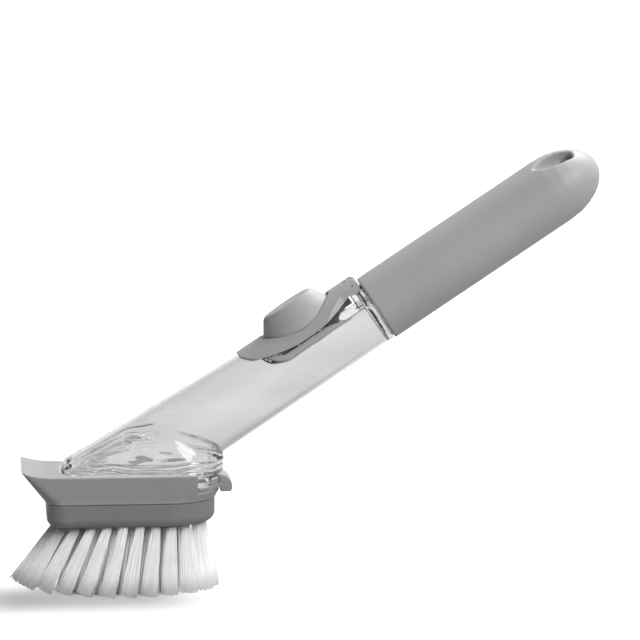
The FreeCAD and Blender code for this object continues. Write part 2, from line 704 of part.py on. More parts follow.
# Collar round the foot: it flares from the block's oval to the straight, upturned edge of the scraper bill
def head_frame():
    bill_top = "(collar_top + bill_rise)"
    low = block_oval("collar_low", "block_high")
    high = oval("collar_high", "bill_reach", "collar_heel", "collar_half_width", "bill_corner", bill_top)
    block = loft("collar_block", low, high)
    hollow_radius = "(((bill_reach - bill_root) ^ 2 + bill_rise ^ 2) / (2 * bill_rise))"
    bill_hollow = cylinder("bill_hollow", hollow_radius, "-2 * collar_half_width", "2 * collar_half_width",
                           "-bill_root", f"collar_top + {hollow_radius}", "Y")
    top_room = box("top_room", "-bill_root", "2 * collar_heel", "-2 * collar_half_width",
                   "2 * collar_half_width", "collar_top", f"{bill_top} + overrun")
    heel_room = box("heel_room", "heel_cut_front", "2 * collar_heel", "-2 * collar_half_width",
                    "2 * collar_half_width", "heel_cut_low", f"{bill_top} + overrun")
    pocket = oval_prism("skirt_pocket", "-head_clearance", "floor_top", f"{bill_top} + overrun", "skirt_heel")
    foot_pocket = oval_prism("foot_pocket", "-head_clearance", "foot_underside - head_clearance",
                             f"{bill_top} + overrun")
    hole = cylinder("floor_hole", "floor_hole_radius", "block_high - overrun", f"floor_top + overrun")
    cuts = fuse("collar_cuts", bill_hollow, top_room, heel_room, pocket, foot_pocket, hole,
                *pegs("peg_hole", "base_gap"))
    return cut("head_frame", block, cuts)


# Latch at the heel: a thin springy belt with a stiff pad on each side and a thumb tab
def release_latch():
    outer = cylinder("belt_outer", f"{BELT_INNER} + belt_thickness", "belt_low", "belt_high", BELT_CENTRE)
    inner = cylinder("belt_inner", BELT_INNER, "belt_low - overrun", "belt_high + belt_pad_rise + overrun",
                     BELT_CENTRE)
    heel_side = box("belt_side", "heel_cut_front + belt_root_gap", "2 * collar_heel", "-2 * collar_half_width",
                    "2 * collar_half_width", "0", "2 * belt_high")
    belt = common("belt", outer, heel_side)
    pads = common("belt_pads", cylinder("pad_round", f"{BELT_INNER} + belt_thickness", "belt_low",
                                        "belt_high + belt_pad_rise", BELT_CENTRE),
                  box("pad_side", "belt_pad_start", "belt_pad_end", "-2 * collar_half_width",
                      "2 * collar_half_width", "belt_low", "2 * belt_high"))
    tab_x = f"({BELT_CENTRE} + {BELT_INNER} + belt_thickness / 2)"
    tab = common("tab", cylinder("tab_round", "tab_radius", "-tab_half_width", "tab_half_width", tab_x,
                                 "belt_high - tab_centre_drop", "Y"),
                 box("tab_side", tab_x, "2 * collar_heel", "-tab_half_width", "tab_half_width",
                     "belt_low - tab_drop", "2 * belt_high"))
    return cut("release_latch", fuse("latch_solid", belt, pads, tab), inner)


def ring_places(count, half_length, half_width):
    """Evenly spaced places on an oval ring, found by stepping round it."""
    steps = [2 * math.pi * step / RING_STEPS for step in range(RING_STEPS)]
    points = [(half_length * math.cos(turn), half_width * math.sin(turn)) for turn in steps]
    lengths = [math.dist(points[step - 1], points[step]) for step in range(RING_STEPS)]
    total = sum(lengths)
    places = []
    travelled = 0.0
    for point, length in zip(points, lengths):
        if travelled * count >= total * len(places) and len(places) < count:
            places.append(point)
        travelled += length
    return places


def tuft_frame(x, y, half_length, half_width, lean_share):
    """Place of a tuft at the block's face, with its own Z axis pointing down along the leaning bristles."""
    station = value("upright_station")
    if x < station:
        forward = -value("toe_lean") * (station - x) / (station + half_length)
    else:
        forward = value("heel_lean") * (x - station) / (half_length - station)
    sideways = value("side_lean") * y / half_width
    slopes = [math.tan(math.radians(angle * lean_share)) for angle in (forward, sideways)]
    lean = FreeCAD.Vector(*slopes, -1)
    turn = FreeCAD.Rotation(FreeCAD.Vector(0, 0, 1), lean)
    toe_share = max(-forward, 0) / value("toe_lean")
    return FreeCAD.Placement(FreeCAD.Vector(x, y, value("block_low")), turn), toe_share * lean_share


def all_tufts():
    """Every tuft's ring, place and share of the toe's extra length."""
    outer = (value("outer_ring_length"), value("outer_ring_width"))
    inner = (value("inner_ring_length"), value("inner_ring_width"))
    rings = (("outer", OUTER_TUFTS, outer, 1), ("inner", INNER_TUFTS, inner, INNER_LEAN_SHARE))
    return [(ring, *tuft_frame(x, y, outer[0], outer[1], share))
            for ring, count, reach, share in rings for x, y in ring_places(count, *reach)]


def placed(feature, frame, depth):
    """Move a feature along the tuft's own line by a depth that may be negative."""
    feature.Placement = frame.multiply(FreeCAD.Placement(FreeCAD.Vector(0, 0, depth), FreeCAD.Rotation()))
    return feature


def tuft(name, frame, toe_share):
    """One tuft: a root held in the block and a brush that spreads towards its tip."""
    root = bind(doc.addObject("Part::Cylinder", f"{name}_root"), Radius="tuft_radius",
                Height="tuft_seat + tuft_collar")
    brush = bind(doc.addObject("Part::Cone", f"{name}_brush"), Radius1="tuft_radius", Radius2="tuft_tip_radius",
                 Height=f"tuft_length * {1 + TOE_LENGTH_SHARE * toe_share} - tuft_collar")
    return fuse(name, placed(root, frame, -value("tuft_seat")), placed(brush, frame, value("tuft_collar")))


TUFTS = all_tufts()


def bristle_tufts(ring_name):
    return group(f"bristle_tufts_{ring_name}", [tuft(f"{ring_name}_tuft_{index}", frame, toe_share)
                 for index, (ring, frame, toe_share) in enumerate(TUFTS) if ring == ring_name])


def tuft_anchors():
    anchors = []
    for index, (ring, frame, toe_share) in enumerate(TUFTS):
        plate = bind(doc.addObject("Part::Box", f"anchor_{index}"), Length="anchor_thickness",
                     Width="anchor_width", Height="anchor_height")
        corner = FreeCAD.Vector(-value("anchor_thickness") / 2, -value("anchor_width") / 2,
                                -value("tuft_seat") - value("anchor_height"))
        plate.Placement = frame.multiply(FreeCAD.Placement(corner, FreeCAD.Rotation()))
        anchors.append(plate)
    return group("tuft_anchors", anchors)


# Bristle block: an oval slab with a rounded lower edge, a soap hole and a blind hole for each tuft
def brush_block():
    slab = prism("block_slab", block_oval("block_line", "block_low"), "block_high - block_low")
    doc.recompute()
    edges = [index for index, edge in enumerate(slab.Shape.Edges, start=1)
             if edge.BoundBox.ZMax < value("block_low + base_gap")]
    eased = doc.addObject("Part::Fillet", "block_eased")
    eased.Base = slab
    eased.Edges = [(index, value("block_edge"), value("block_edge")) for index in edges]
    holes = []
    for index, (ring, frame, toe_share) in enumerate(TUFTS):
        hole = bind(doc.addObject("Part::Cylinder", f"tuft_hole_{index}"),
                    Radius="tuft_radius + tuft_clearance", Height="tuft_seat + anchor_height + overrun")
        holes.append(placed(hole, frame, -value("tuft_seat + anchor_height")))
    soap = cylinder("soap_hole", "soap_hole_radius", "block_low - overrun",
                    "block_high + peg_height + overrun")
    solid = fuse("block_solid", eased, *pegs("peg", "0"))
    return cut("brush_block", solid, fuse("block_holes", soap, *holes))


# Build every piece, then stand the whole part with its box centred over the origin
pieces = [
    reservoir_tube(), handle_shell(), tube_plug(), plug_seal_ring(), hinge_pin(),
    lid_cover(), pump_button(), dome_skirt(), port_gasket(), dome_clamp_plate(),
    reservoir_base(), base_seal(), outlet_valve(), valve_retainer(),
    head_frame(), release_latch(), brush_block(),
    bristle_tufts("outer"), bristle_tufts("inner"), tuft_anchors(),
]
doc.recompute()
reach = FreeCAD.BoundBox()
for piece in pieces:
    reach.add(piece.Shape.optimalBoundingBox(False, False))
origin = FreeCAD.Vector(reach.Center.x, 0, reach.ZMin)
stand = FreeCAD.Placement(-origin, FreeCAD.Rotation())
for piece in pieces:
    piece.Placement = stand.multiply(piece.Placement)
doc.recompute()

# Stop on anything that failed
for item in doc.Objects:
    if "Invalid" in item.State or "Error" in item.State:
        raise SystemExit(f"{item.Name} failed: {item.State}")
for piece in pieces:
    if piece.Shape.isNull() or not piece.Shape.isValid():
        raise SystemExit(f"{piece.Label} has no valid shape")

# Write one file for each piece
os.makedirs("parts", exist_ok=True)
for piece in pieces:
    piece.Shape.exportStep(f"parts/{piece.Label}.step")
    print(piece.Label, len(piece.Shape.Solids), round(piece.Shape.Volume, 1))

# Places that the record states, in the part's own frame
stood = stand.multiply(wand_place())
for label, station, height in (("hinge pin", "pin_station", PIN_HEIGHT),
                               ("hanging eye", f"{NOSE_TIP} - eye_setback", "0"),
                               ("port", "port_station", "deck_height")):
    point = stood.multVec(FreeCAD.Vector(value(station), 0, value(height)))
    print(label, [round(number, 3) for number in point])
print("axis", [round(number, 5) for number in stood.Rotation.multVec(FreeCAD.Vector(1, 0, 0))])
print("origin over the brush centre", [round(number, 3) for number in origin])
print("box", [round(number, 2) for number in (reach.XLength, reach.YLength, reach.ZLength)])
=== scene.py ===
# %% [markdown]
# # A dish wand with a clear soap reservoir
# The real object is a grey handle on a clear tube, with a filler lid and a press dome on top and a
# bristle head below. The solid frame already holds every part in its place, so this lesson dresses it:
# worn edges, real bristles, wavy clear plastic and finishes.

# %% Load the frame
import math
import random

import bmesh
import bpy
import numpy as np
from mathutils import Matrix, Vector
from mathutils.geometry import intersect_point_line
from mathutils.noise import noise as lumps


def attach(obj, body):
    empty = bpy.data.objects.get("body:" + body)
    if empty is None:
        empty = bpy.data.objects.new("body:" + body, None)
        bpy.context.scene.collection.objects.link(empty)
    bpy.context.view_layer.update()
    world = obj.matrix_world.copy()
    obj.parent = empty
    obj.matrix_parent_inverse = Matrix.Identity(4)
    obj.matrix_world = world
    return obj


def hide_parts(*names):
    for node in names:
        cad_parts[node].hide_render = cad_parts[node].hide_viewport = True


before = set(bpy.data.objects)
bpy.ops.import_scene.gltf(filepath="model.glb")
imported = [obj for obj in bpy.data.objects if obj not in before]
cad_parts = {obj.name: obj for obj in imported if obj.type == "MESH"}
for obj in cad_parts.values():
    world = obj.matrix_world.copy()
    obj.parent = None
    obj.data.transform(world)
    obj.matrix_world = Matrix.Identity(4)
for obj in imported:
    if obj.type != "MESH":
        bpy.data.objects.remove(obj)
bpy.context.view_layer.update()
MM = 0.001
scene = bpy.context.scene

# %% [markdown]
# ## The line of the wand
# The handle, the tube and the lid are drawn along one sloping line. Working in stations along that line
# and heights above it is easier than in plain X and Z, so two small functions go there and back.

# %% Stations on the sloping line
RISE = math.radians(33.5)
LINE_START = Vector((-83.716, 0, 56.918)) * MM
ALONG = Vector((math.cos(RISE), 0, math.sin(RISE)))
ABOVE = Vector((-math.sin(RISE), 0, math.cos(RISE)))


def on_line(station, side, height):
    """Point in the row frame, from millimetres along, across and above the wand's line."""
    return LINE_START + (ALONG * station + Vector((0, side, 0)) + ABOVE * height) * MM


def off_line(point):
    """Station, side and height in millimetres of a point in the row frame."""
    away = (Vector(point) - LINE_START) / MM
    return away.dot(ALONG), away.y, away.dot(ABOVE)


PIN_STATION = 136.9
PIN_HEIGHT = 16.2
print("hinge pin at", [round(part, 4) for part in on_line(PIN_STATION, 0, PIN_HEIGHT)])

# %% [markdown]
# ## Camera
# The photograph was taken from a little above and a little to the brush end's side, from far away with a
# long lens. The same lens keeps the wand's outline nearly parallel.

# %% Camera
CAMERA_TARGET = Vector((7.128, 0, 129.403)) * MM
CAMERA_DISTANCE = 1.9
CAMERA_SIDE = math.radians(5)
CAMERA_RISE = math.radians(8)
LENS_MM = 224.4
towards = Vector((-math.sin(CAMERA_SIDE) * math.cos(CAMERA_RISE),
                  -math.cos(CAMERA_SIDE) * math.cos(CAMERA_RISE), math.sin(CAMERA_RISE)))
lens = bpy.data.cameras.new("studio_camera")
lens.lens = LENS_MM
lens.clip_end = CAMERA_DISTANCE * 10
camera = bpy.data.objects.new("studio_camera", lens)
scene.collection.objects.link(camera)
camera.location = CAMERA_TARGET + towards * CAMERA_DISTANCE
camera.rotation_euler = (-towards).to_track_quat("-Z", "Y").to_euler()
scene.camera = camera
scene.view_settings.view_transform = "Standard"
print("camera at", [round(part, 3) for part in camera.location])

# %% [markdown]
# ## Floor and light
# A pale sheet under the bristles catches a soft shadow. For the camera it is lifted to white, as a studio
# sheet is, more so further away, while the light that it throws back up stays modest, so that undersides
# keep their shade.

# %% Floor
FLOOR_HALF = 14.0
FLOOR_SEEN = (0.84, 0.84, 0.84, 1)
FLOOR_BOUNCE = (0.22, 0.22, 0.22, 1)
LIFT_SPAN = (0.1, 2.6)
LIFT_LIGHT = (0.02, 0.95)
GLIMPSE_SPAN = (0.05, 0.3)
GLIMPSE_LIGHT = (0.5, 1.0)


def new_material(name):
    material = bpy.data.materials.new(name)
    material.use_nodes = True
    material.node_tree.nodes.clear()
    return material, material.node_tree.nodes, material.node_tree.links


def ray_kinds(nodes, links):
    """Two signals: 1 for rays from the camera, and 1 for rays off a mirror or through clear plastic."""
    path = nodes.new("ShaderNodeLightPath")
    either = nodes.new("ShaderNodeMath")
    either.operation = "MAXIMUM"
    links.new(path.outputs["Is Glossy Ray"], either.inputs[0])
    links.new(path.outputs["Is Transmission Ray"], either.inputs[1])
    return path.outputs["Is Camera Ray"], either.outputs[0]


def eased(nodes, links, source, start, end, low, high):
    """A number that eases from low to high while its source goes from start to end."""
    limits = nodes.new("ShaderNodeMapRange")
    limits.interpolation_type = "SMOOTHSTEP"
    for socket, number in (("From Min", start), ("From Max", end), ("To Min", low), ("To Max", high)):
        limits.inputs[socket].default_value = number
    links.new(source, limits.inputs["Value"])
    return limits.outputs["Result"]


def chosen(nodes, links, signal, usual, special):
    """The special shader where the signal is 1, and the usual one elsewhere."""
    choose = nodes.new("ShaderNodeMixShader")
    links.new(signal, choose.inputs[0])
    links.new(usual, choose.inputs[1])
    links.new(special, choose.inputs[2])
    return choose.outputs[0]


def studio_sheet():
    material, nodes, links = new_material("studio_sheet")
    by_camera, through_clear = ray_kinds(nodes, links)
    away = nodes.new("ShaderNodeVectorMath")
    away.operation = "LENGTH"
    links.new(nodes.new("ShaderNodeTexCoord").outputs["Object"], away.inputs[0])
    distance = away.outputs["Value"]
    pale = nodes.new("ShaderNodeBsdfDiffuse")
    pale.inputs["Color"].default_value = FLOOR_SEEN
    lift = nodes.new("ShaderNodeEmission")
    links.new(eased(nodes, links, distance, *LIFT_SPAN, *LIFT_LIGHT), lift.inputs["Strength"])
    lifted = nodes.new("ShaderNodeAddShader")
    links.new(pale.outputs[0], lifted.inputs[0])
    links.new(lift.outputs[0], lifted.inputs[1])
    # Seen in a gloss or through the clear plastic, the floor is a painted glow, dimmer near the wand as
    # painted shade.
    glimpse = nodes.new("ShaderNodeEmission")
    links.new(eased(nodes, links, distance, *GLIMPSE_SPAN, *GLIMPSE_LIGHT), glimpse.inputs["Strength"])
    bounce = nodes.new("ShaderNodeBsdfDiffuse")
    bounce.inputs["Color"].default_value = FLOOR_BOUNCE
    unseen = chosen(nodes, links, through_clear, bounce.outputs[0], glimpse.outputs[0])
    output = nodes.new("ShaderNodeOutputMaterial")
    links.new(chosen(nodes, links, by_camera, unseen, lifted.outputs[0]), output.inputs["Surface"])
    return material


sheet_mesh = bpy.data.meshes.new("studio_floor")
corners = [(x, y, 0) for x, y in ((-FLOOR_HALF, -FLOOR_HALF), (FLOOR_HALF, -FLOOR_HALF),
                                  (FLOOR_HALF, FLOOR_HALF), (-FLOOR_HALF, FLOOR_HALF))]
sheet_mesh.from_pydata(corners, [], [(0, 1, 2, 3)])
floor = bpy.data.objects.new("studio_floor", sheet_mesh)
scene.collection.objects.link(floor)
sheet_mesh.materials.append(studio_sheet())
print("floor half width", FLOOR_HALF)

# %% [markdown]
# ## Lamps and sky
# Two soft boxes light the wand: a key from the front and the right, and a smaller one from above and
# behind that lays the shadow in front of the bristles. The sky fills the rest, and is white only where
# the camera, a gloss or the clear plastic looks at it.

# %% Lamps and sky
SKY_LIGHT = 0.2
SKY_SPAN = (0.1, 0.8)
SKY_GLIMPSE = (1.0, 0.4)
LAMPS = (
    # name, place, width, watts
    ("key_softbox", (1.1, -1.7, 1.2), 1.3, 44.0),
    ("top_softbox", (0.6, 0.6, 1.7), 1.1, 44.0),
)
for name, place, width, watts in LAMPS:
    lamp = bpy.data.lights.new(name, "AREA")
    lamp.size = width
    lamp.energy = watts
    softbox = bpy.data.objects.new(name, lamp)
    softbox.location = place
    aim = CAMERA_TARGET - softbox.location
    softbox.rotation_euler = aim.to_track_quat("-Z", "Y").to_euler()
    scene.collection.objects.link(softbox)

sky = bpy.data.worlds.new("studio_sky")
scene.world = sky
sky.use_nodes = True
sky_nodes = sky.node_tree.nodes
sky_links = sky.node_tree.links
sky_nodes.clear()
sky_by_camera, sky_through_clear = ray_kinds(sky_nodes, sky_links)
sky_shades = []
for name, strength in (("sky_dim", SKY_LIGHT), ("sky_glimpse", 1), ("sky_white", 1)):
    shade = sky_nodes.new("ShaderNodeBackground")
    shade.name = name
    shade.inputs["Color"].default_value = (1, 1, 1, 1)
    shade.inputs["Strength"].default_value = strength
    sky_shades.append(shade)
split = sky_nodes.new("ShaderNodeSeparateXYZ")
sky_links.new(sky_nodes.new("ShaderNodeTexCoord").outputs["Generated"], split.inputs[0])
sky_links.new(eased(sky_nodes, sky_links, split.outputs["Z"], *SKY_SPAN, *SKY_GLIMPSE),
              sky_shades[1].inputs["Strength"])
sky_unseen = chosen(sky_nodes, sky_links, sky_through_clear, sky_shades[0].outputs[0],
                    sky_shades[1].outputs[0])
sky_out = sky_nodes.new("ShaderNodeOutputWorld")
sky_links.new(chosen(sky_nodes, sky_links, sky_by_camera, sky_unseen, sky_shades[2].outputs[0]),
              sky_out.inputs["Surface"])
print("lamps:", len(LAMPS))

# %% [markdown]
# ## Moulded plastic
# The grey parts are moulded with a fine spark-eroded grain, and handling polishes them unevenly. One
# recipe serves them all: two close tones drift over the part, a fine grain lifts the surface, and slow
# patches change the gloss. The scales are in metres, so the grain is the same size on every part.


# %% Moulded plastic
TONE_PATCH = 24.0
GLOSS_PATCH = 9.0
SURFACE_SWELL = 0.06
PLASTIC_IOR = 1.47


def object_place(nodes):
    return nodes.new("ShaderNodeTexCoord").outputs["Object"]


def noise(nodes, links, place, size, detail=3.0):
    """Noise whose patches are about the given size in millimetres."""
    texture = nodes.new("ShaderNodeTexNoise")
    texture.inputs["Scale"].default_value = 1 / (size * MM)
    texture.inputs["Detail"].default_value = detail
    links.new(place, texture.inputs["Vector"])
    return texture.outputs["Fac"]


def ramp(nodes, links, source, low, high, start=0.3, end=0.7):
    """Turn a 0 to 1 signal into a drift between two colours."""
    colours = nodes.new("ShaderNodeValToRGB")
    colours.color_ramp.elements[0].position = start
    colours.color_ramp.elements[1].position = end
    colours.color_ramp.elements[0].color = (*low, 1)
    colours.color_ramp.elements[1].color = (*high, 1)
    links.new(source, colours.inputs["Fac"])
    return colours.outputs["Color"]


def span(nodes, links, source, low, high):
    """Turn a 0 to 1 signal into a number between two limits."""
    limits = nodes.new("ShaderNodeMapRange")
    limits.inputs["To Min"].default_value = low
    limits.inputs["To Max"].default_value = high
    links.new(source, limits.inputs["Value"])
    return limits.outputs["Result"]


def bump(nodes, links, signals, strength, height):
    """Raise the surface by one signal after another, each with its own height in millimetres."""
    normal = None
    for signal, lift in zip(signals, height):
        raised = nodes.new("ShaderNodeBump")
        raised.inputs["Strength"].default_value = strength
        raised.inputs["Distance"].default_value = lift * MM
        links.new(signal, raised.inputs["Height"])
        if normal is not None:
            links.new(normal, raised.inputs["Normal"])
        normal = raised.outputs["Normal"]
    return normal


def moulded(name, tone, drift=0.05, gloss=(0.42, 0.55), grain=0.35, grain_height=0.02, warmth=0.0):
    """Grey moulded plastic of a given lightness."""
    material, nodes, links = new_material(name)
    place = object_place(nodes)
    shader = nodes.new("ShaderNodeBsdfPrincipled")
    output = nodes.new("ShaderNodeOutputMaterial")
    low = [tone * (1 - drift) * (1 + warmth * share) for share in (1, 0, -1)]
    high = [tone * (1 + drift) * (1 + warmth * share) for share in (1, 0, -1)]
    slow = noise(nodes, links, place, TONE_PATCH)
    fine = noise(nodes, links, place, grain, 2.0)
    links.new(ramp(nodes, links, slow, low, high), shader.inputs["Base Color"])
    links.new(span(nodes, links, noise(nodes, links, place, GLOSS_PATCH), *gloss), shader.inputs["Roughness"])
    links.new(bump(nodes, links, (slow, fine), 0.6, (SURFACE_SWELL, grain_height)), shader.inputs["Normal"])
    shader.inputs["IOR"].default_value = PLASTIC_IOR
    links.new(shader.outputs[0], output.inputs["Surface"])
    return material


FINISHES = {
    "handle_grey": moulded("handle_grey", 0.36, gloss=(0.40, 0.52)),
    "lid_grey": moulded("lid_grey", 0.35, gloss=(0.42, 0.54)),
    "soft_grey": moulded("soft_grey", 0.355, gloss=(0.46, 0.60), grain=0.5),
    "head_grey": moulded("head_grey", 0.27, gloss=(0.40, 0.52)),
    "block_grey": moulded("block_grey", 0.19, gloss=(0.44, 0.58)),
    "inner_white": moulded("inner_white", 0.72, drift=0.02),
    "seal_silicone": moulded("seal_silicone", 0.55, drift=0.03, gloss=(0.34, 0.46), grain=0.8),
}
print("moulded finishes:", ", ".join(FINISHES))

# %% [markdown]
# ## Clear plastic, nylon and steel
# The reservoir is clear styrene: it bends light like glass and holds a trace of grey, which the two
# walls of the tube show twice. The bristles are white nylon, each strand a little different. The pin and
# the staples that hold the tufts are drawn steel.


# %% Clear plastic, nylon and steel
FLOW_LINE = 14.0
FLOW_STRETCH = (0.12, 1, 1)
FLOW_HEIGHT = 0.12
HAZE_PATCH = 30.0
STYRENE_IOR = 1.5
NYLON_GLOW = (0.88, 0.88, 0.88)
NYLON_GLOW_SHARE = 0.12
NYLON_GRAIN = 0.6
NYLON_GRAIN_HEIGHT = 0.02
DRAWN_GRAIN = 0.4
DRAWN_HEIGHT = 0.01


def clear_plastic(name, tint):
    material, nodes, links = new_material(name)
    place = object_place(nodes)
    shader = nodes.new("ShaderNodeBsdfPrincipled")
    output = nodes.new("ShaderNodeOutputMaterial")
    stretch = nodes.new("ShaderNodeMapping")
    stretch.inputs["Rotation"].default_value = (0, RISE, 0)
    stretch.inputs["Scale"].default_value = FLOW_STRETCH
    links.new(place, stretch.inputs["Vector"])
    flow = noise(nodes, links, stretch.outputs[0], FLOW_LINE, 2.0)
    low = [tint * 0.955] * 3
    links.new(ramp(nodes, links, flow, low, [min(tint * 1.03, 1)] * 3), shader.inputs["Base Color"])
    haze = noise(nodes, links, place, HAZE_PATCH)
    links.new(span(nodes, links, haze, 0.015, 0.05), shader.inputs["Roughness"])
    links.new(bump(nodes, links, (flow,), 0.25, (FLOW_HEIGHT,)), shader.inputs["Normal"])
    shader.inputs["Transmission Weight"].default_value = 1
    shader.inputs["IOR"].default_value = STYRENE_IOR
    links.new(shader.outputs[0], output.inputs["Surface"])
    return material


def nylon(name):
    material, nodes, links = new_material(name)
    shader = nodes.new("ShaderNodeBsdfPrincipled")
    output = nodes.new("ShaderNodeOutputMaterial")
    strand = nodes.new("ShaderNodeNewGeometry").outputs["Random Per Island"]
    links.new(ramp(nodes, links, strand, (0.86, 0.86, 0.85), (0.93, 0.93, 0.93), 0, 1),
              shader.inputs["Base Color"])
    links.new(span(nodes, links, strand, 0.28, 0.46), shader.inputs["Roughness"])
    grain = noise(nodes, links, object_place(nodes), NYLON_GRAIN)
    links.new(bump(nodes, links, (grain,), 0.3, (NYLON_GRAIN_HEIGHT,)), shader.inputs["Normal"])
    through = nodes.new("ShaderNodeBsdfTranslucent")
    through.inputs["Color"].default_value = (*NYLON_GLOW, 1)
    both = nodes.new("ShaderNodeMixShader")
    both.inputs["Fac"].default_value = NYLON_GLOW_SHARE
    links.new(shader.outputs[0], both.inputs[1])
    links.new(through.outputs[0], both.inputs[2])
    links.new(both.outputs[0], output.inputs["Surface"])
    return material


def steel(name):
    material, nodes, links = new_material(name)
    place = object_place(nodes)
    shader = nodes.new("ShaderNodeBsdfPrincipled")
    output = nodes.new("ShaderNodeOutputMaterial")
    drawn = noise(nodes, links, place, DRAWN_GRAIN)
    links.new(ramp(nodes, links, drawn, (0.34, 0.34, 0.35), (0.44, 0.44, 0.45)), shader.inputs["Base Color"])
    links.new(span(nodes, links, drawn, 0.22, 0.36), shader.inputs["Roughness"])
    links.new(bump(nodes, links, (drawn,), 0.3, (DRAWN_HEIGHT,)), shader.inputs["Normal"])
    shader.inputs["Metallic"].default_value = 1
    links.new(shader.outputs[0], output.inputs["Surface"])
    return material


# Near-black finish of the sheet under the lid's strap, which is painted shade.
FINISHES["painted_shade_black"] = moulded("painted_shade_black", 0.06, gloss=(0.5, 0.65))
FINISHES["clear_plastic"] = clear_plastic("clear_plastic", 0.84)
FINISHES["white_nylon"] = nylon("white_nylon")
FINISHES["pin_steel"] = steel("pin_steel")
slots = {}
for node_name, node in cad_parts.items():
    slots[node_name] = node.data.materials[0].name
    node.data.materials[0] = FINISHES[slots[node_name].split(".")[0]]
print("dressed nodes:", len(slots))

# %% [markdown]
# ## Worn edges
# A moulded part has no knife edges. A bevel needs clean edges to follow, which a part made of many cuts
# doesn't have, so each part is wrapped in a fine even skin instead and the skin is relaxed a little. The
# flat faces stay where they are and every edge gets a small radius.


# %% Worn edges
def settled(piece):
    """Apply the piece's modifiers to its mesh."""
    graph = bpy.context.evaluated_depsgraph_get()
    done = bpy.data.meshes.new_from_object(piece.evaluated_get(graph))
    piece.modifiers.clear()
    piece.data = done
    done.name = piece.name
    for face in done.polygons:
        face.use_smooth = True
    return piece


JOIN_REACH = 0.001


def joined_copy(mesh):
    """Copy of a mesh with the doubled points along its sharp edges joined again."""
    shape = bmesh.new()
    shape.from_mesh(mesh)
    bmesh.ops.remove_doubles(shape, verts=shape.verts, dist=JOIN_REACH * MM)
    copy = bpy.data.meshes.new(mesh.name)
    shape.to_mesh(copy)
    shape.free()
    return copy


def add_piece(name, mesh, slot, body, *nodes):
    """A new piece with a finish, riding on a body, in place of some nodes."""
    piece = bpy.data.objects.new(name, mesh)
    scene.collection.objects.link(piece)
    mesh.materials.clear()
    mesh.materials.append(FINISHES[slot])
    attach(piece, body)
    if nodes:
        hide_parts(*nodes)
    return piece


def even_skin(piece, voxel, rounds):
    wrap = piece.modifiers.new("even_skin", "REMESH")
    wrap.mode = "VOXEL"
    wrap.voxel_size = voxel * MM
    relax = piece.modifiers.new("relaxed", "SMOOTH")
    relax.factor = 0.5
    relax.iterations = rounds
    return settled(piece)


PIN_STOP = (8.65, 9.1)
PIN_STOP_RADIUS = 1.2


def stop_pin_hole(mesh):
    """Close both ends of the lid's pin hole with a thin disc, as a moulded skin does."""
    shape = bmesh.new()
    shape.from_mesh(mesh)
    for hand in (-1, 1):
        middle = on_line(PIN_STATION, hand * (PIN_STOP[0] + PIN_STOP[1]) / 2, PIN_HEIGHT)
        place = Matrix.Translation(middle) @ Matrix.Rotation(math.pi / 2, 4, "X")
        bmesh.ops.create_cone(shape, cap_ends=True, segments=32, radius1=PIN_STOP_RADIUS * MM,
                              radius2=PIN_STOP_RADIUS * MM, depth=(PIN_STOP[1] - PIN_STOP[0]) * MM,
                              matrix=place)
    shape.to_mesh(mesh)
    shape.free()


WORN = (
    # node, piece, slot, body, voxel in millimetres, rounds of relaxing
    ("handle_shell", "grip", "handle_grey", "wand", 0.6, 10),
    ("lid_cover", "filler_lid", "lid_grey", "lid", 0.25, 5),
    ("pump_button", "press_dome", "soft_grey", "button", 0.35, 24),
    ("head_frame", "head_collar", "head_grey", "head", 0.4, 8),
    ("release_latch", "heel_latch", "head_grey", "latch", 0.3, 8),
)
for node_name, name, slot, body, voxel, rounds in WORN:
    piece = add_piece(name, joined_copy(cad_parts[node_name].data), slot, body, node_name)
    if body == "lid":
        stop_pin_hole(piece.data)
    even_skin(piece, voxel, rounds)
    print(name, len(piece.data.polygons), "faces")

# %% [markdown]
# ## Lip of the collar, root of the tab and end of the tongue
# The collar's lower edge is a small lip that overhangs the bristle block, which draws a thin dark line
# under it. The latch's tab stands close against the foot, and the lid's finger tongue ends in a blunt
# round. All three are small pushes on points of the skins.

# %% Lip, tab and tongue
LIP_FOOT = 45.62
LIP_RISE = 1.2
LIP_OUT = 0.55
TAB_ROOT = 42.0
TAB_FLOOR = 51.2
TAB_REACH = 1.2
TONGUE_SIDES = (3.0, 8.0)
TONGUE_ROOT = 86.0
TONGUE_EASE = 6.0
TONGUE_PUSH = 1.3


def soft_step(number, low, high):
    """Ease from 0 to 1 while a number goes from low to high."""
    share = min(max((number - low) / (high - low), 0), 1)
    return share * share * (3 - 2 * share)


collar = bpy.data.objects["head_collar"]
lip_points = 0
for vert in collar.data.vertices:
    rise = vert.co.z / MM - LIP_FOOT
    outward = Vector((vert.normal.x, vert.normal.y, 0))
    if rise < LIP_RISE and outward.dot(Vector((vert.co.x - LINE_START.x, vert.co.y, 0))) > 0:
        vert.co += outward * (LIP_OUT * (1 - max(rise, 0) / LIP_RISE) * MM)
        lip_points += 1
latch = bpy.data.objects["heel_latch"]
for vert in latch.data.vertices:
    along = (vert.co.x - LINE_START.x) / MM
    if along > TAB_ROOT and vert.co.z > TAB_FLOOR * MM and vert.normal.x < -0.5:
        vert.co.x -= TAB_REACH * MM
lid = bpy.data.objects["filler_lid"]
for vert in lid.data.vertices:
    station, side, height = off_line(vert.co)
    blunt = soft_step(abs(side), *TONGUE_SIDES) * soft_step(TONGUE_ROOT - station, 0, TONGUE_EASE)
    vert.co -= ALONG * (TONGUE_PUSH * blunt * MM)
print("lip points:", lip_points)

# %% [markdown]
# ## Clear reservoir
# The reservoir is one moulding: a tapering tube that flares into a humped foot. Clear plastic shows every
# ripple, so the even skin is pulled back onto the true round of the tube and its end rim. A curve swept
# by hand would be rounder still, but the skin keeps the foot, the deck and the lug in one closed piece.

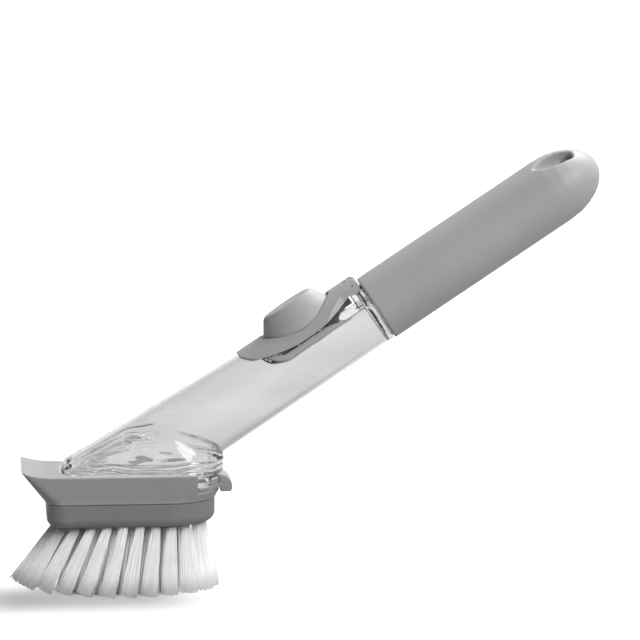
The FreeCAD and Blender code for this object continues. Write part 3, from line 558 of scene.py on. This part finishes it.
# %% True round of the tube
RESERVOIR_VOXEL = 0.5
RESERVOIR_ROUNDS = 12
TUBE_START = 22.0
TUBE_END = 141.0
FOOT_CROWN = 23.0
RIM_CROWN = 15.1
TUBE_BELLY = 16.1
TUBE_WALL = 1.8
SNAP = 0.45
SNAP_ENDS = (42.0, 137.4)
RIM_ENDS = (138.2, 140.4)
RIM_RADIUS = 16.2


def tube_round(station):
    """Centre height and radius of the tube's skin at a station."""
    fall = (FOOT_CROWN - RIM_CROWN) / (TUBE_START + TUBE_END)
    crown = FOOT_CROWN - fall * (station + TUBE_START)
    return (crown - TUBE_BELLY) / 2, (crown + TUBE_BELLY) / 2


def true_round(point):
    """Pull a point that is nearly on the tube's outer or inner round onto it."""
    station, side, height = off_line(point)
    centre, radius = tube_round(station)
    if RIM_ENDS[0] < station < RIM_ENDS[1]:
        centre, radius = 0, RIM_RADIUS
    elif not SNAP_ENDS[0] < station < SNAP_ENDS[1]:
        return point
    reach = math.hypot(side, height - centre)
    for wanted in (radius, radius - TUBE_WALL):
        if abs(reach - wanted) < SNAP:
            scale = wanted / reach
            return on_line(station, side * scale, centre + (height - centre) * scale)
    return point


print("tube radius at the foot and the rim:", [round(tube_round(end)[1], 2) for end in SNAP_ENDS])

# %% [markdown]
# ## Relief on the foot
# On the foot the plastic is thick and shrinks as it cools. That leaves a rounded bead along the shoulder,
# thin ripples above the collar, and uneven lumps between them. A texture could fake these, but clear
# plastic bends light by its real shape, so the points of the skin are moved instead.

# %% Relief on the foot
BEAD_TOP = 75.9
BEAD_STATION = 20.0
BEAD_FALL_TOE = 0.0048
BEAD_FALL_HEEL = 0.017
BEAD_DROP = 1.6
BEAD_WIDTH = 0.9
BEAD_HEIGHT = 0.55
RIPPLE_LOW = 58.6
RIPPLE_HIGH = 66.0
RIPPLE_LENGTH = 2.5
RIPPLE_HEIGHT = 0.17
LUMP_SIZE = 7.5
LUMP_HEIGHT = 0.5
STREAK_SIZE = 11.0
STREAK_HEIGHT = 0.3
SPECK_SIZE = 0.9
SPECK_HEIGHT = 0.05
SPECK_PATCH = (-4.0, 12.0)
SWAY_LONG = (0.5, 6.5)
SWAY_SHORT = (0.3, 2.9)
SWAY_SHIFT = 1.3
RIPPLE_EASE = (1.0, 2.0)
RELIEF_START = (0.2, 1.6)
SEAT_EASE = 3.0
SPECK_EASE = 2.0
LUMP_SQUASH = 1.6
STREAK_SQUASH = 4.5


def bead(along, level):
    """A rounded bead along the shoulder of the hump, high in the middle and lower at toe and heel."""
    away = along - BEAD_STATION
    fall = BEAD_FALL_TOE if away < 0 else BEAD_FALL_HEEL
    below = level - (BEAD_TOP - BEAD_DROP - fall * away * away)
    return BEAD_HEIGHT * math.exp(-(below / BEAD_WIDTH) ** 2)


def ripples(along, level):
    """Thin level ripples low on the foot."""
    sway = SWAY_LONG[0] * math.sin(along / SWAY_LONG[1])
    sway += SWAY_SHORT[0] * math.sin(along / SWAY_SHORT[1] + SWAY_SHIFT)
    inside = soft_step(level, RIPPLE_LOW, RIPPLE_LOW + RIPPLE_EASE[0])
    inside *= soft_step(-level, -RIPPLE_HIGH, RIPPLE_EASE[1] - RIPPLE_HIGH)
    return RIPPLE_HEIGHT * inside * math.sin(2 * math.pi * (level + sway) / RIPPLE_LENGTH)


def foot_relief(point):
    """Height in millimetres of the bead, ripples, lumps and specks on the foot at a point."""
    station, side, height = off_line(point)
    centre, radius = tube_round(station)
    outside = soft_step(math.hypot(side, height - centre) - radius, *RELIEF_START)
    along = (point.x - LINE_START.x) / MM
    level = point.z / MM
    above_seat = soft_step(level, RIPPLE_LOW, RIPPLE_LOW + SEAT_EASE)
    patch = soft_step(along, SPECK_PATCH[0] - SPECK_EASE, SPECK_PATCH[0] + SPECK_EASE)
    patch *= soft_step(-along, -SPECK_PATCH[1] - SPECK_EASE, SPECK_EASE - SPECK_PATCH[1])
    lump = LUMP_HEIGHT * lumps(Vector((along, side, LUMP_SQUASH * level)) / LUMP_SIZE)
    lump += STREAK_HEIGHT * lumps(Vector((along, side, STREAK_SQUASH * level)) / STREAK_SIZE)
    speck = SPECK_HEIGHT * patch * lumps(Vector((along, side, level)) / SPECK_SIZE)
    return outside * (bead(along, level) + ripples(along, level) + above_seat * (lump + speck))


print("relief height in the middle of the foot:", round(bead(BEAD_STATION, BEAD_TOP - BEAD_DROP), 2))

# %% [markdown]
# ## Filler deck
# The top of the tube is cut to a flat deck that carries the filler port, and its front rolls up to the
# crown. Seen from the side, the deck's thickness shines through the clear wall as a bright band, so its
# underside is lifted here to leave a thin edge.

# %% Filler deck
DECK_FRONT = 83.5
DECK_HEIGHT = 5.5
DECK_ROLL = 12.0
DECK_THICK = 2.0
THIN_DECK = 0.5
DECK_FADE = 3.6


def deck_level(station):
    """Height of the filler deck, which rolls up to the crown of the tube at its front."""
    ahead = DECK_FRONT + DECK_ROLL - station
    if ahead < 0:
        return DECK_HEIGHT
    return DECK_HEIGHT + DECK_ROLL - math.sqrt(max(DECK_ROLL * DECK_ROLL - ahead * ahead, 0))


def thin_deck(point):
    """Lift the underside of the deck, so that its edge doesn't shine through the wall as a thick band."""
    station, side, height = off_line(point)
    if not DECK_FRONT < station < SNAP_ENDS[1]:
        return point
    centre, radius = tube_round(station)
    reach = math.hypot(side, height - centre)
    below = deck_level(station) - height
    if reach > radius - TUBE_WALL / 2 or not 0 < below < DECK_FADE:
        return point
    share = THIN_DECK / DECK_THICK
    if below < DECK_THICK:
        kept = below * share
    else:
        kept = THIN_DECK + (below - DECK_THICK) * (DECK_FADE - THIN_DECK) / (DECK_FADE - DECK_THICK)
    height += below - kept
    wall = radius - TUBE_WALL
    if abs(reach - wall) < SNAP:
        side = math.copysign(math.sqrt(max(wall * wall - (height - centre) ** 2, 0)), side)
    return on_line(station, side, height)


print("deck level at its front and back:", [round(deck_level(end), 2) for end in (DECK_FRONT, TUBE_END)])

# %% [markdown]
# ## Reservoir in one piece
# The steps come together: an even skin, a calmer fillet where the foot leaves the tube, the true round,
# the thin deck, and the relief last. Clear plastic hardly darkens a white sheet, so it casts no shadow.

# %% Reservoir in one piece
CALM_LINE = (Vector((-14.0, 70.0)), Vector((12.0, 80.0)))
CALM_REACH = (4.0, 8.0)
CALM_ROUNDS = 110

reservoir = add_piece("soap_reservoir", joined_copy(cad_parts["reservoir_tube"].data), "clear_plastic",
                      "wand", "reservoir_tube")
even_skin(reservoir, RESERVOIR_VOXEL, RESERVOIR_ROUNDS)
calm = reservoir.vertex_groups.new(name="calm_crest")
for vert in reservoir.data.vertices:
    place = Vector(((vert.co.x - LINE_START.x) / MM, vert.co.z / MM))
    share = intersect_point_line(place, *CALM_LINE)[1]
    nearest = CALM_LINE[0].lerp(CALM_LINE[1], min(max(share, 0), 1))
    weight = 1 - soft_step((place - nearest).length, *CALM_REACH)
    if weight > 0:
        calm.add([vert.index], weight, "REPLACE")
calmed = reservoir.modifiers.new("calmed", "SMOOTH")
calmed.vertex_group = "calm_crest"
calmed.factor = 0.5
calmed.iterations = CALM_ROUNDS
settled(reservoir)
for vert in reservoir.data.vertices:
    vert.co = thin_deck(true_round(vert.co))
normals = [vert.normal.copy() for vert in reservoir.data.vertices]
for vert, normal in zip(reservoir.data.vertices, normals):
    vert.co += normal * (foot_relief(vert.co) * MM)
reservoir.visible_shadow = False
print("reservoir faces:", len(reservoir.data.polygons))

# %% [markdown]
# ## Kerb around the filler
# A grey kerb runs along both edges of the filler deck, and keeps soap from running down the tube. It
# could be a curve with a bevel, but its height follows the lid's lower edge, so it is drawn as a row of
# rings along the wand, joined into a closed skin.


# %% Port kerb
def ring_mesh(name, runs, closed=False):
    """Closed skins through rows of rings. A closed row joins its last ring to its first."""
    shape = bmesh.new()
    for rings in runs:
        rows = [[shape.verts.new(point) for point in ring] for ring in rings]
        following = rows[1:] + ([rows[0]] if closed else [])
        for row, after in zip(rows, following):
            for index in range(len(row)):
                turn = (index + 1) % len(row)
                shape.faces.new((row[index], row[turn], after[turn], after[index]))
        if not closed:
            shape.faces.new(rows[0])
            shape.faces.new(rows[-1])
    bmesh.ops.recalc_face_normals(shape, faces=shape.faces)
    mesh = bpy.data.meshes.new(name)
    shape.to_mesh(mesh)
    shape.free()
    for face in mesh.polygons:
        face.use_smooth = len(face.vertices) == 4
    return mesh


KERB_ENDS = (84.0, 129.0)
KERB_HEIGHT = 2.7
KERB_SLIT = 0.55
KERB_LEAST = 0.25
KERB_EASE = 14.0
KERB_STEPS = 60
KERB_PROFILE = ((0.22, -0.45), (0.22, 0.2), (0.0, 0.6), (-0.4, 0.93), (-0.7, 1.0), (-1.2, 1.0), (-1.6, 0.7),
                (-2.0, -0.45))
LID_RIM_HEIGHT = 8.8
LID_RIM_ROLL = 75.0
PORT_STATION = 106.9


def lid_rim(station):
    """Height of the lid's lower edge, which rolls up towards both ends."""
    away = station - PORT_STATION
    return LID_RIM_HEIGHT + LID_RIM_ROLL - math.sqrt(LID_RIM_ROLL * LID_RIM_ROLL - away * away)


def kerb_ring(station, hand):
    level = deck_level(station)
    centre, radius = tube_round(station)
    edge = math.sqrt(max(radius * radius - (level - centre) ** 2, 0))
    ends = soft_step(-station, -KERB_ENDS[1], KERB_EASE - KERB_ENDS[1])
    rise = min(KERB_HEIGHT, lid_rim(station) - level - KERB_SLIT) * ends
    rise = max(rise, KERB_LEAST)
    return [on_line(station, hand * (edge + out), level + (up * rise if up > 0 else up))
            for out, up in KERB_PROFILE]


kerb_stations = np.linspace(*KERB_ENDS, KERB_STEPS)
kerb_runs = [[kerb_ring(float(station), hand) for station in kerb_stations] for hand in (-1, 1)]
add_piece("port_kerb", ring_mesh("port_kerb", kerb_runs), "lid_grey", "wand")
print("kerb rings:", len(kerb_stations) * 2)

# %% [markdown]
# ## Painted shade under the strap
# Under the strap of the lid lies a thin near-black sheet, painted shade for the strap's shaded inside,
# whose lower edge rises in a rounded arch towards the hinge. It uses the same rings, each an arc with two
# lower edges.

# %% Painted shade under the strap
SHADE_SHEET_ENDS = (117.0, 133.0)
SHADE_SHEET_RADIUS = 14.35
SHADE_SHEET_THICK = 1.0
SHADE_SHEET_SIDES = 24
SHADE_SHEET_STEPS = 40
LID_CENTRE = 2.3
ARCH_FOOT = 6.3
ARCH_TOP = 10.4
ARCH_SPAN = (123.0, 130.5)


def shade_sheet_ring(station):
    """Section of the painted shade sheet: an arc with its two lower edges at the height of the arch."""
    share = min(max((station - ARCH_SPAN[0]) / (ARCH_SPAN[1] - ARCH_SPAN[0]), 0), 1)
    low = ARCH_FOOT + (ARCH_TOP - ARCH_FOOT) * math.sqrt(1 - (1 - share) ** 2)
    points = []
    for radius, way in ((SHADE_SHEET_RADIUS, 1), (SHADE_SHEET_RADIUS - SHADE_SHEET_THICK, -1)):
        reach = math.acos((low - LID_CENTRE) / radius)
        for turn in np.linspace(-reach * way, reach * way, SHADE_SHEET_SIDES):
            points.append(on_line(station, radius * math.sin(turn), LID_CENTRE + radius * math.cos(turn)))
    return points


shade_sheet = [shade_sheet_ring(float(station)) for station in np.linspace(*SHADE_SHEET_ENDS, SHADE_SHEET_STEPS)]
# A near-black sheet under the strap, painted shade for the strap's shaded inside.
strap_shade_sheet = add_piece("strap_shade_sheet", ring_mesh("strap_shade_sheet", [shade_sheet]), "block_grey", "lid")
strap_shade_sheet.data.materials[0] = FINISHES["painted_shade_black"]
print("lining rings:", len(shade_sheet))

# %% [markdown]
# ## Washer and hinge rod
# A silicone washer seals the tube against the handle, and a steel rod with rounded ends is the hinge's
# pin. Both are turned parts, so their rings follow a small profile.

# %% End washer and hinge rod
WASHER_STATION = 137.4
WASHER_CENTRE = -0.4
WASHER_PROFILE = ((-0.6, 13.3), (0.6, 13.3), (0.6, 10.5), (-0.6, 10.5))
WASHER_SIDES = 72
washer = []
for number in range(WASHER_SIDES):
    turn = 2 * math.pi * number / WASHER_SIDES
    washer.append([on_line(WASHER_STATION + shift, reach * math.sin(turn),
                           reach * math.cos(turn) + WASHER_CENTRE) for shift, reach in WASHER_PROFILE])
add_piece("end_washer", ring_mesh("end_washer", [washer], closed=True), "seal_silicone", "wand")
ROD_PROFILE = ((-8.55, 0.6), (-8.4, 0.88), (-8.15, 1.0), (8.15, 1.0), (8.4, 0.88), (8.55, 0.6))
ROD_SIDES = 32
rod = [[on_line(PIN_STATION + reach * math.cos(turn), side, PIN_HEIGHT + reach * math.sin(turn))
        for turn in np.linspace(0, 2 * math.pi, ROD_SIDES, endpoint=False)] for side, reach in ROD_PROFILE]
add_piece("hinge_rod", ring_mesh("hinge_rod", [rod]), "pin_steel", "wand", "hinge_pin")
print("washer sides:", WASHER_SIDES, "rod sides:", ROD_SIDES)

# %% [markdown]
# ## Bristles
# Each tuft is a bundle of nylon strands folded over a staple. The solid tufts say where each bundle
# starts, where it ends and how much it spreads, so every strand grows from the root disc to the wider
# tip disc with its own small bend and length. Fixed random seeds keep the brush the same in every run.

# %% Where the tufts are
TUFT_NODES = ("bristle_tufts_outer", "bristle_tufts_inner")
STRANDS = 110
STRAND_RADIUS = 0.15
STRAND_SIDES = 5
STRAND_SHARES = (0, 0.35, 0.7, 1)
ROOT_DISC = 1.9
TIP_DISC = 4.3
FACE_HEIGHT = 34.418


def tuft_lines(node):
    """Root and tip of every tuft in a node, found as the two ends of each loose solid."""
    shape = bmesh.new()
    shape.from_mesh(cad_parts[node].data)
    bmesh.ops.remove_doubles(shape, verts=shape.verts, dist=JOIN_REACH * MM)
    waiting = set(shape.verts)
    lines = []
    while waiting:
        island = []
        front = [waiting.pop()]
        while front:
            vert = front.pop()
            island.append(vert.co.copy())
            for edge in vert.link_edges:
                other = edge.other_vert(vert)
                if other in waiting:
                    waiting.remove(other)
                    front.append(other)
        points = np.array(island)
        centre = points.mean(axis=0)
        axis = np.linalg.svd(points - centre)[2][0]
        axis = axis if axis[2] < 0 else -axis
        reach = (points - centre) @ axis
        lines.append((Vector(centre + axis * reach.min()), Vector(centre + axis * reach.max())))
    shape.free()
    return sorted(lines, key=lambda line: (round(line[0].x, 5), round(line[0].y, 5)))


tuft_places = {node: tuft_lines(node) for node in TUFT_NODES}
print("tufts:", {node: len(lines) for node, lines in tuft_places.items()})


# %% [markdown]
# ## Strands
# A strand is a thin round rod with a little bow and a cut end. Hair curves would be quicker to make, but
# a mesh keeps its shape in every export.

# %% Strands
ROOT_DEPTH = 0.8
SPREAD_CHANCE = (0.75, 1.1)
BOW = 0.35
TIP_DRIFT = 0.3
LENGTH_CHANCE = (-1.1, 0.1)
CROWN_DROP = 0.4
TURN_CHANCE = 0.2
GOLDEN_TURN = math.pi * (3 - math.sqrt(5))


def strand_rings(points, radius):
    """Rings of a thin round strand through some points."""
    rings = []
    for index, point in enumerate(points):
        ahead = points[min(index + 1, len(points) - 1)] - points[max(index - 1, 0)]
        turn = ahead.to_track_quat("Z", "X")
        rings.append([point + turn @ (Vector((math.cos(angle), math.sin(angle), 0)) * radius)
                      for angle in (2 * math.pi * side / STRAND_SIDES for side in range(STRAND_SIDES))])
    return rings


def tuft_strands(root, tip, chance):
    """Centre lines of the strands of one tuft."""
    axis = (tip - root).normalized()
    start = root + axis * ((FACE_HEIGHT * MM - root.z) / axis.z) - axis * (ROOT_DEPTH * MM)
    length = (tip - start).length
    across = axis.cross(Vector((0, 1, 0))).normalized()
    beside = axis.cross(across)
    for number in range(STRANDS):
        share = math.sqrt((number + 0.5) / STRANDS)
        turn = number * GOLDEN_TURN + chance.uniform(-TURN_CHANCE, TURN_CHANCE)
        out = across * math.cos(turn) + beside * math.sin(turn)
        spread = share * (ROOT_DISC + (TIP_DISC - ROOT_DISC) * chance.uniform(*SPREAD_CHANCE)) * MM
        bow = out * (chance.uniform(-BOW, BOW) * MM)
        drift = (across * chance.gauss(0, TIP_DRIFT) + beside * chance.gauss(0, TIP_DRIFT)) * MM
        reach = length + (chance.uniform(*LENGTH_CHANCE) - CROWN_DROP * share * share) * MM
        points = []
        for part in STRAND_SHARES:
            offset = out * (share * ROOT_DISC * MM) * (1 - part) + out * (spread * part)
            sway = bow * (4 * part * (1 - part)) + drift * (part * part)
            points.append(start + axis * (reach * part) + offset + sway)
        lowest = min(point.z for point in points)
        if lowest < STRAND_RADIUS * MM:
            points[-1] += axis * ((STRAND_RADIUS * MM - lowest) / axis.z)
        yield points


def bristles(name, node, lines, seed):
    chance = random.Random(seed)
    verts = []
    faces = []
    for root, tip in lines:
        for points in tuft_strands(root, tip, chance):
            first = len(verts)
            for ring in strand_rings(points, STRAND_RADIUS * MM):
                verts.extend(ring)
            for level in range(len(points) - 1):
                for side in range(STRAND_SIDES):
                    low = first + level * STRAND_SIDES
                    following = (side + 1) % STRAND_SIDES
                    faces.append((low + side, low + following, low + STRAND_SIDES + following,
                                  low + STRAND_SIDES + side))
            faces.append(tuple(first + side for side in reversed(range(STRAND_SIDES))))
            last = first + (len(points) - 1) * STRAND_SIDES
            faces.append(tuple(last + side for side in range(STRAND_SIDES)))
    mesh = bpy.data.meshes.new(name)
    mesh.from_pydata(verts, [], faces)
    for face in mesh.polygons:
        face.use_smooth = len(face.vertices) == 4
    piece = add_piece(name, mesh, "white_nylon", "head", node)
    print(name, len(faces), "faces")
    return piece


# %% [markdown]
# ## The three bunches of bristles
# The outer ring is made in two halves and the inner tufts apart. Real nylon lets light wander through it,
# which strands in a picture don't, so only the inner bunch casts a shadow and the outer ones stay pale.

# %% The three bunches of bristles
outer_lines = tuft_places["bristle_tufts_outer"]
near_lines = [line for line in outer_lines if line[0].y < 0]
far_lines = [line for line in outer_lines if line[0].y >= 0]
near_bristles = bristles("near_bristles", "bristle_tufts_outer", near_lines, 11)
far_bristles = bristles("far_bristles", "bristle_tufts_outer", far_lines, 17)
near_bristles.visible_shadow = False
far_bristles.visible_shadow = False
bristles("inner_bristles", "bristle_tufts_inner", tuft_places["bristle_tufts_inner"], 23)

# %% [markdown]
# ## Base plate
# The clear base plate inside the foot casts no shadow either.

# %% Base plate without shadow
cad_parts["reservoir_base"].visible_shadow = False
